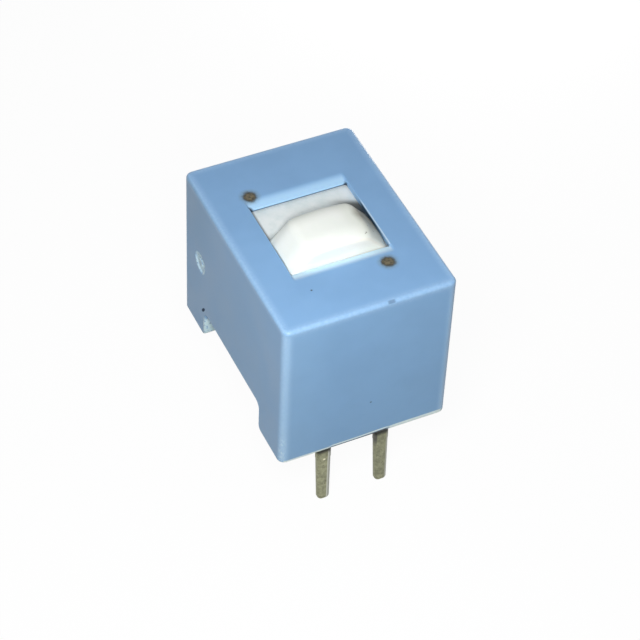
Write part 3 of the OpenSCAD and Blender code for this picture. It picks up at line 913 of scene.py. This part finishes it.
def cover_plastic():
    """Satin blue plastic with the marks of making and use, and with painted light and shade.

    The marks are the gate's scar, two burnt dots, scuffs low on the left upright edges, a pit, two specks and
    a nick. Painted highlights lie along the edges and the upright edges, on the window's right rim, along the
    near wall's lower edge and on the far left foot's end face, and painted light lies on the ramps and on the
    left part of the near and far faces. Painted shade darkens the far top of the left face, the feet of the
    window's right and far walls and three of its corners, and painted shadow lies in a line along the near
    wall's lower edge between the pins.
    """
    material, place = start_material("cover_plastic")
    x, y, z = place.parts()
    cloud = place.noise(1.9, 3.0).fade(0.3, 0.7)
    grain = place.noise(0.045)
    rough = place.noise(0.12, 4.0)
    tone = cloud.mix(colour(126, 170, 214), colour(131, 175, 219))
    in_x = half_w - abs(x)
    in_y = half_d - abs(y)
    in_z = body_h - z
    edge = in_x.most(in_y).least(in_y.most(in_z)).least(in_x.most(in_z))
    # Painted highlight along the edges.
    band = edge.fade(0.4, 0.06) * (rough.fade(0.3, 0.7) * 0.2 + 0.3)
    tone = band.mix(tone, colour(178, 214, 248))
    # Painted highlight on the upright edges, stronger low down.
    upright = in_y.fade(0.28, 0.08) * in_x.fade(0.5, 0.08) * in_z.fade(0.1, 0.4)
    tone = (upright * (z.fade(2.5, 0.5) * 0.2 + 0.38)).mix(tone, colour(184, 218, 250))
    lit = in_y.fade(0.1, 0.02) * (x + half_w).fade(2.6, 0.2)
    tone = (lit * 0.14).mix(tone, colour(160, 198, 230))
    scuffs = in_y.fade(0.28, 0.1) * in_x.fade(0.3, 0.05) * z.between(0.2, 1.3, 0.3) * x.fade(0.0, -1.0)
    scuffs = scuffs * place.stretched((1.0, 1.0, 0.4)).noise(0.07, 3.0).fade(0.46, 0.62)
    tone = (scuffs * 0.7).mix(tone, colour(210, 236, 255))
    # Painted shade on the left face, darker towards the far top.
    far_left_shade = y.fade(0.5, 4.7) * z.fade(3.0, 7.0) * (x + half_w).fade(0.1, 0.02)
    tone = (far_left_shade * 0.35).mix(tone, colour(96, 132, 160))
    side = abs(x) - window_w / 2
    end = abs(y) - window_d / 2
    # Painted light on the window's ramps, reflected from the white knob, brighter on the near ramp.
    ramps = side.fade(0.05, -0.1) * end.fade(0.5, 0.14) * z.fade(lip_z, lip_z + 0.1)
    tone = ramps.mix(tone, y.fade(-1.0, 1.0).mix(colour(204, 234, 255), colour(174, 215, 250)))
    # Painted highlight along the top of the window's right wall.
    rim = x.between(window_w / 2, window_w / 2 + 0.04, 0.02) * end.fade(0.03, -0.03)
    gap = y.fade(0.9, 0.4)
    tone = (rim * gap * z.fade(lip_z + 0.2, lip_z + 0.24) * 0.7).mix(tone, colour(206, 228, 246))
    # Painted shade at the feet of the window's right and far walls.
    walls = side.fade(0.035, 0.02) * end.fade(0.035, 0.02)
    right_foot = x.fade(1.8, 2.0) * z.fade(lip_z + 0.26, lip_z + 0.18) * gap
    right_foot = right_foot * (y.fade(-1.9, -0.4) * 0.8 + 0.2)
    far_foot = y.fade(1.7, 1.8) * z.fade(lip_z + 0.09, lip_z + 0.03)
    tone = (walls * right_foot.most(far_foot)).mix(tone, colour(52, 74, 96))
    # Painted shade in three corners of the window.
    for across, along, size in dark_corners:
        corner = place.spot((across * window_w / 2, along * window_d / 2, lip_z + 0.05), size, 0.06)
        tone = corner.mix(tone, colour(20, 42, 66))
    scar = place.spot((-half_w, gate_y, gate_z), gate_d / 2, 0.05)
    tone = (scar * rough.fade(0.33, 0.45)).mix(tone, colour(206, 236, 255))
    # Painted highlight and painted shadow along the near wall's lower edge: a dark line between the pins with
    # a pale line above it, and a pale band elsewhere.
    near = in_y.fade(0.05, 0.02) * y.fade(0.0, -1.0)
    between_pins = x.between(-1.4, 1.05, 0.15)
    dark_top = x.fade(-0.6, 1.4) * 0.04 + 0.07
    dark = near * between_pins * (z - dark_top).fade(0.02, -0.02)
    pale = (between_pins * (z - dark_top).between(0.02, 0.09, 0.02)).most(
        (1 - between_pins) * (z - x.fade(0.0, 1.5) * 0.08).fade(0.14, 0.08))
    tone = (near * pale).mix(tone, colour(232, 250, 255))
    tone = dark.mix(tone, colour(12, 14, 18))
    # Painted highlight on the end face of the far left foot.
    end_face = y.between(relief_d / 2 - 0.05, relief_d / 2 + 0.12, 0.05)
    end_face = end_face * x.between(-half_w - 0.1, -2.8, 0.03)
    foot_end_highlight = end_face * z.fade(1.15, 0.8) * rough.fade(0.3, 0.5)
    tone = foot_end_highlight.mix(tone, colour(214, 242, 255))
    pit_y = y - pit_place_y
    slant = pit_y + (z - pit_place_z)
    pit = (slant * slant * 120 + pit_y * pit_y * 50).fade(1.7, 0.7) * (x + half_w).fade(0.05, 0.02)
    tone = pit.mix(tone, colour(16, 42, 70))
    for centre, radius in cover_specks:
        tone = place.spot(centre, radius, 0.03).mix(tone, colour(46, 62, 82))
    nick = x.between(nick_left, nick_right, 0.05) * (y + half_d).fade(0.14, 0.08) * in_z.fade(0.12, 0.06)
    tone = (nick * 0.6).mix(tone, colour(74, 100, 130))
    wander = place.noise(0.16, 3.0) * 0.14 - 0.07
    for dot_x, dot_y in dot_places:
        reach = place.reach((dot_x, dot_y, body_h)) + wander
        tone = (reach.fade(0.5, 0.2) * 0.6).mix(tone, colour(104, 120, 122))
        burn = (rough.fade(0.3, 0.65) * reach.fade(0.28, 0.1)).mix(colour(48, 48, 38), colour(112, 102, 76))
        tone = reach.fade(0.34, 0.2).mix(tone, burn)
    return finish_material(material, {
        "Base Color": tone,
        "Roughness": cloud * 0.08 + 0.4 + pit * 0.5,
        "Normal": (grain + scar * rough * 8.0).bump(0.003),
        "Subsurface Weight": 0.15,
        "Subsurface Radius": (0.6, 0.8, 1.0),
        "Subsurface Scale": 0.3 * MM,
    })


rings = ridges_and_scar(cover_rings())
shell_faces = [grid_faces(*rings.shape[:2], close_rows=True)]
shell = make_piece("cover_shell", rings.reshape(-1, 3), shell_faces, cover_plastic())
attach(shell, "housing")
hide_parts("cover")


# The switch stands on its pins on a plain white table. A small soft lamp close by at the front left lights
# it, a weaker one lights its back, and the camera looks down on its near left corner as the photograph does.

table_half = 2.0
table_z = cad_box[0][2]
table_bounce = (0.38, 0.38, 0.31, 1)
shadow_share = 0.045
sky_share = 0.29


def seen_rays(tree):
    """1 for rays from the camera, a mirror or a glass, and 0 for rays that light the scene."""
    path = tree.nodes.new("ShaderNodeLightPath")
    seen = Shade(tree, path.outputs["Is Camera Ray"])
    for kind in ("Is Glossy Ray", "Is Transmission Ray"):
        seen = seen.most(Shade(tree, path.outputs[kind]))
    return seen


def table_white():
    """A table that the camera sees as white, with the object's soft shadow on it, and that lights little."""
    material = bpy.data.materials.new("table_white")
    material.use_nodes = True
    tree = material.node_tree
    tree.nodes.remove(next(n for n in tree.nodes if n.type == "BSDF_PRINCIPLED"))
    seen = seen_rays(tree)
    glow = seen.node("ShaderNodeEmission", {}, {"Color": (1, 1, 1, 1), "Strength": 1.0})
    paper = seen.node("ShaderNodeBsdfDiffuse", {}, {"Color": (1, 1, 1, 1)})
    grey = seen.node("ShaderNodeBsdfDiffuse", {}, {"Color": table_bounce})
    white = seen.node("ShaderNodeMixShader", {}, {0: shadow_share, 1: glow, 2: paper})
    shown = seen.node("ShaderNodeMixShader", {}, {0: seen, 1: grey, 2: white})
    output = next(n for n in tree.nodes if n.type == "OUTPUT_MATERIAL")
    tree.links.new(shown.socket, output.inputs["Surface"])
    return material


corners = np.array([(-1, -1, 0), (1, -1, 0), (1, 1, 0), (-1, 1, 0)]) * table_half + [0, 0, table_z]
table_mesh = bpy.data.meshes.new("table")
table_mesh.from_pydata(corners.tolist(), [], [(0, 1, 2, 3)])
table_mesh.materials.append(table_white())
table = bpy.data.objects.new("table", table_mesh)
bpy.context.scene.collection.objects.link(table)

world = bpy.data.worlds.new("studio")
bpy.context.scene.world = world
world.use_nodes = True
sky = world.node_tree
strength = seen_rays(sky) * (1 - sky_share) + sky_share
sky.links.new(strength.socket, sky.nodes["Background"].inputs["Strength"])
sky.nodes["Background"].inputs["Color"].default_value = (1, 1, 1, 1)


def aim(back):
    """Turns an object so that its own Z axis points along back, with no roll."""
    across = np.cross([0, 0, 1], back)
    across /= np.linalg.norm(across)
    return np.column_stack([across, np.cross(back, across), back])


def place_object(thing, turn, position):
    matrix = np.eye(4)
    matrix[:3, :3] = turn
    matrix[:3, 3] = position
    thing.matrix_world = Matrix(matrix.tolist())
    bpy.context.scene.collection.objects.link(thing)


def soft_lamp(name, position, target, size, power):
    """A round area lamp at a place in millimetres, aimed at another, that the camera doesn't see."""
    position, target = np.array(position) * MM, np.array(target) * MM
    light = bpy.data.lights.new(name, "AREA")
    light.shape = "DISK"
    light.size = size * MM
    light.energy = power
    lamp = bpy.data.objects.new(name, light)
    lamp.visible_camera = False
    away = position - target
    place_object(lamp, aim(away / np.linalg.norm(away)), position)


soft_lamp("key", position=(-12.6, -21.8, 28.8), target=(0, 0, 5), size=10, power=0.0099)
soft_lamp("fill", position=(22, 28, 2), target=(0, 0, 3), size=16, power=0.0045)

azimuth = np.radians(-27.0)
elevation = np.radians(46.12)
roll = np.radians(2.91)
eye = np.array([-30.0, -59.38, 71.24]) * MM
focal_px = 2439.1
picture_px = 640
sensor_mm = 36.0
flat = np.cos(elevation)
back = np.array([np.sin(azimuth) * flat, -np.cos(azimuth) * flat, np.sin(elevation)])
level_turn = aim(back)
right = np.cos(roll) * level_turn[:, 0] + np.sin(roll) * level_turn[:, 1]
up = np.cos(roll) * level_turn[:, 1] - np.sin(roll) * level_turn[:, 0]
camera_data = bpy.data.cameras.new("camera")
camera_data.sensor_width = sensor_mm
camera_data.lens = focal_px / picture_px * sensor_mm
camera_data.clip_start = MM
camera = bpy.data.objects.new("camera", camera_data)
place_object(camera, np.column_stack([right, up, back]), eye)
bpy.context.scene.camera = camera
bpy.context.scene.view_settings.view_transform = "Standard"
